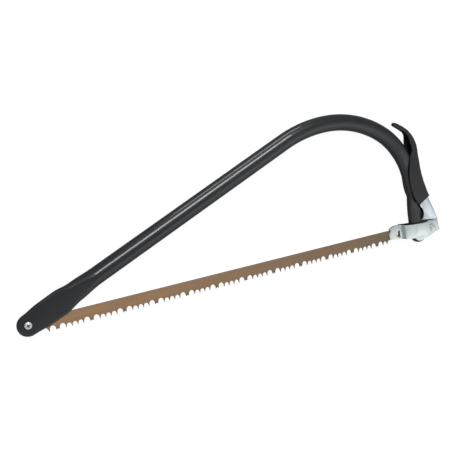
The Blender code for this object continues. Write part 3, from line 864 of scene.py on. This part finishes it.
def makeLever():
    sheet, half, web = lever["sheet"], lever["upperHalf"], lever["web"]
    back = [(webX(6.6), 6.6)] + web[2:]
    piece = slab("tensionLever", back + lever["front"][::-1] + arcPoints(*lever["mouth"], 18)[::-1], -half, half)
    roundBack(piece, half, back, lever["bend"])
    inner = moved([(webX(-8.0), -8.0)] + web[1:] + [(561.3, 106.0)], sheet * 1.05)
    tool = slab("upperHollow", inner + [(540.0, 110.0), (520.0, 110.0), (520.0, -8.0)], sheet - half, half - sheet)
    roundBack(tool, half - sheet, inner, lever["bend"] - sheet)
    cut(piece, tool)

    low = lever["lowerHalf"]
    lowBack = [web[0], (webX(6.3), 6.3)]
    cheekRound = arcPoints(fulcrum, lever["cheek"], 90.0, 290.0, 28)
    cheek = slab("lowerCheeks", cheekRound + lowBack + [(573.0, 6.3)], -low, low)
    roundBack(cheek, low, lowBack, lever["bend"] - 0.8)
    inner = moved([(webX(-24.0), -24.0), web[0], (webX(6.3), 6.3), (webX(20.0), 20.0)], sheet * 1.05)
    tool = slab("lowerHollow", inner + [(520.0, 20.0), (520.0, -24.0)], sheet - 0.1 - low, low - sheet + 0.1)
    roundBack(tool, low - sheet + 0.1, inner, 0.5)
    cut(cheek, tool)
    cut(piece, cheek, "UNION")
    cut(piece, makeNeck(), "UNION")
    cut(piece, rod("fulcrumCut", fulcrum, lever["fulcrumHole"], -20.0, 20.0))
    cut(piece, rod("pinCut", holderPin, lever["pinHole"], -20.0, 20.0))
    softenEdges(piece, 0.2, 2, 50.0)
    finishPiece(piece, "tensionLever", "lever", ["tension_lever"], finishes["lever_zinc"])


def makeNeck():
    # strip of the back that narrows from the wide channel to the narrow one
    top, bottom, sheet = lever["neckTop"], lever["neckBottom"], lever["sheet"]
    strip = [(webX(top), top), (webX(top) - sheet, top), (webX(bottom) - sheet, bottom), (webX(bottom), bottom)]
    piece = slab("leverNeck", strip, -lever["upperHalf"], lever["upperHalf"])
    openMesh(piece)
    for side in (1.0, -1.0):
        pick(piece, lambda co: abs(co.y - bottom) < 0.01 and co.z * side > 0.0)
        slide(0.0, 0.0, side * (lever["lowerHalf"] - 0.9 - lever["upperHalf"]))
        pick(piece, lambda co: abs(co.y - top) < 0.01 and co.z * side > 0.0)
        slide(0.0, 0.0, -side * 0.9)
    closeMesh()
    return piece


makeLever()


# Moulded grip over the lever

grip = {
    "half": 9.6, "wall": 1.3, "round": 1.0,
    "back": [(575.9, 42.8), (573.9, 47.5), (571.3, 56.2), (568.7, 65.4), (566.6, 75.9), (565.3, 84.8), (564.7, 94.9),
             (563.9, 103.6), (563.6, 112.2)],
    "hookTop": [(563.3, 119.3), (561.8, 126.6), (559.6, 133.4), (555.4, 140.2), (548.6, 146.2), (541.1, 151.1)],
    "hookTip": ((535.6, 151.2), 2.6, 60.0, 235.0),
    "hookUnder": [(537.8, 146.6), (542.3, 143.6), (546.8, 140.3), (549.7, 138.3), (551.8, 135.6), (553.3, 132.8),
                  (553.8, 130.3), (554.1, 124.5)],
    "front": [(554.6, 117.8), (555.4, 111.2), (552.2, 106.2), (550.2, 101.6), (548.1, 92.0), (546.3, 82.3),
              (545.5, 73.9), (545.9, 66.6), (546.6, 59.3), (548.1, 51.8), (550.5, 44.1), (553.9, 36.9), (558.7, 33.3)],
    "taper": [(0.0, 9.6), (111.0, 9.6), (118.0, 9.1), (125.0, 7.7), (131.0, 6.3), (136.0, 4.6), (141.0, 3.5),
              (147.0, 2.7), (156.0, 2.3)],
    "roof": [(561.6, 104.5), (561.4, 112.2), (561.0, 119.0), (559.6, 125.9), (557.5, 132.2), (553.6, 138.4),
             (548.2, 143.0)],
}


def heightBand(name, widths):
    # ribbon across the saw whose half thickness follows (height, half) pairs
    ribbon = widths + [(height, -wide) for height, wide in widths[::-1]]
    piece = drawChain(name, [(500.0, height, wide) for height, wide in ribbon])
    fillChain(piece)
    bpy.ops.mesh.select_all(action="SELECT")
    pull(100.0, 0.0, 0.0)
    closeMesh()
    outward(piece)
    return piece


def makeGrip():
    half, taper = grip["half"], grip["taper"]
    outline = grip["back"] + grip["hookTop"] + arcPoints(*grip["hookTip"], 8) + grip["hookUnder"] + grip["front"]
    piece = slab("leverGrip", outline, -half, half)
    cut(piece, heightBand("gripWidth", taper), "INTERSECT")
    softenEdges(piece, grip["round"], 4, 32.0)
    line = [(webX(20.0) + 0.35, 20.0)] + [(x + 0.35, y) for x, y in lever["web"][5:]] + grip["roof"]
    hollow = slab("gripHollow", line + [(543.0, 136.0), (525.0, 127.0), (525.0, 20.0)], -half, half)
    cut(hollow, heightBand("hollowWidth", [(height, wide - grip["wall"]) for height, wide in taper[:-1]]), "INTERSECT")
    cut(piece, hollow)
    finishPiece(piece, "leverGrip", "lever", ["lever_grip"], finishes["black_grip"])


makeGrip()


# Blade holder: two pressed plates

holder = {
    "sheet": 1.4, "frontZ": 0.75, "mainZ": 8.2, "rearZ": 5.8, "lobe": 6.6,
    "under": [(507.0, -9.2), (516.0, -10.6), (528.4, -11.4), (537.5, -13.1), (568.5, -13.1)],
    "over": [(570.3, 5.4), (555.7, 6.0), (541.0, 7.0), (528.5, 8.6), (519.0, 9.6), (513.4, 8.9), (508.3, 6.3),
             (508.9, 2.9), (505.2, -0.6), (506.0, -4.5)],
    "window": [(514.2, -2.6), (523.9, 2.4), (523.9, -9.2)],
    "tongue": [(513.6, -3.0), (513.6, -2.2), (519.4, -0.6), (520.0, -2.9), (519.4, -5.2)],
    "pinHole": 2.8,
}


def makePlate(name, side, node):
    sheet, front, main, rear = holder["sheet"], holder["frontZ"], holder["mainZ"], holder["rearZ"]
    lower = [(498.0, front), (527.0, front), (528.2, front + 0.5), (529.9, main - 0.5), (531.0, main), (568.6, main),
             (570.6, rear), (596.0, rear)]
    strip = drawChain(name, [(x, -30.0, side * z) for x, z in lower])
    bpy.ops.mesh.select_all(action="SELECT")
    pull(0.0, 60.0, 0.0)
    bpy.ops.mesh.select_all(action="SELECT")
    bpy.ops.mesh.normals_make_consistent(inside=False)
    closeMesh()
    step = strip.modifiers.new("thick", "SOLIDIFY")
    step.thickness = sheet * mm
    step.offset = facing(strip, side)
    step.use_even_offset = True
    applyStep(strip, step)
    outward(strip)
    outline = holder["under"] + arcPoints(holderPin, holder["lobe"], -105.0, 150.0, 30) + holder["over"]
    cut(strip, slab(name + "Outline", outline, -14.0, 14.0), "INTERSECT")
    cut(strip, slab(name + "Window", holder["window"], -15.0, 15.0))
    if side > 0.0:
        cut(strip, slab("tongue", holder["tongue"], front, front + 0.9), "UNION")
    cut(strip, rod(name + "Bore", holderPin, holder["pinHole"], -20.0, 20.0))
    softenEdges(strip, 0.25, 2, 50.0)
    finishPiece(strip, name, "holder", [node], finishes["zinc_plate"])


def facing(strip, side):
    # which way the sheet's normals point decides which way it thickens
    upward = sum(face.normal.z for face in strip.data.polygons) > 0.0
    return 1.0 if upward == (side > 0.0) else -1.0


makePlate("holderNear", 1.0, "blade_holder_near")
makePlate("holderFar", -1.0, "blade_holder_far")


# Rivets

def makeRivet(name, node, body, centre, shank, head, height, crown, finish):
    top = [(0.0, 1.0), (0.35, 0.97), (0.65, 0.85), (0.85, 0.62), (0.96, 0.32), (1.0, 0.0)]
    upper = [(head * r, height + crown * z) for r, z in top]
    profile = upper + [(shank, height), (shank, -height)] + [(r, -z) for r, z in upper[::-1]]
    piece = turned(name, profile, centre)
    finishPiece(piece, name, body, [node], finish)


makeRivet("fulcrumRivet", "fulcrum_rivet", "frame", fulcrum, 3.0, 5.4, 5.8, 0.8, finishes["bright_steel"])
makeRivet("holderRivet", "holder_rivet", "lever", holderPin, 2.5, 4.2, 7.5, 0.4, finishes["zinc_plate"])
